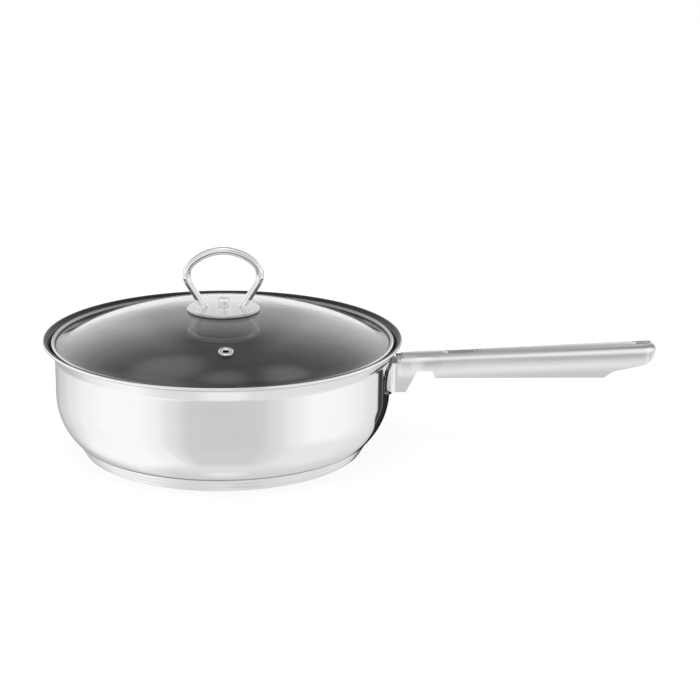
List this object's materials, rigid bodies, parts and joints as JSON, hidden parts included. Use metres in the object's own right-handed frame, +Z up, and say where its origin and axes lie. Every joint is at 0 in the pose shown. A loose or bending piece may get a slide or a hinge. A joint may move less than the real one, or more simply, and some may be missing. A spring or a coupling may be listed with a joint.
{
  "type": "frying pan with lid",
  "caption": "Deep stainless steel frying pan with a flared rim, a long sheet-metal handle and a black lining, and a domed glass lid that lifts off by a wire loop knob.",
  "frame": {"origin": "middle of the face that the pan stands on", "axes": "+Z up along the axis of the pan and the lid, +X along the handle away from the pan"},
  "size_m": [0.448, 0.259, 0.1474],
  "materials": {
    "polished_steel": "mirror-polished stainless steel",
    "satin_steel": "satin stainless steel",
    "base_aluminium": "plain, inside the base",
    "nonstick": "satin black non-stick coating",
    "clear_glass": "clear tempered glass",
    "silicone": "matt silicone"
  },
  "bodies": {
    "pan": {"pan_body": "polished_steel", "nonstick_lining": "nonstick", "base_core": "base_aluminium", "base_cap": "polished_steel", "handle_bracket": "satin_steel", "long_handle": "satin_steel"},
    "lid": {"lid_glass": "clear_glass", "glass_seal": "silicone", "lid_band": "polished_steel", "vent_eyelet": "polished_steel", "knob_gasket": "silicone", "knob_plate": "polished_steel", "knob_loop": "polished_steel", "knob_post": "polished_steel", "knob_screw": "satin_steel", "lower_gasket": "silicone", "lower_washer": "satin_steel"}
  },
  "joints": [
    {"name": "lid_lift", "type": "slide", "parent": "pan", "child": "lid", "axis": [0, 0, 1], "range_m": [0, 0.15]}
  ]
}
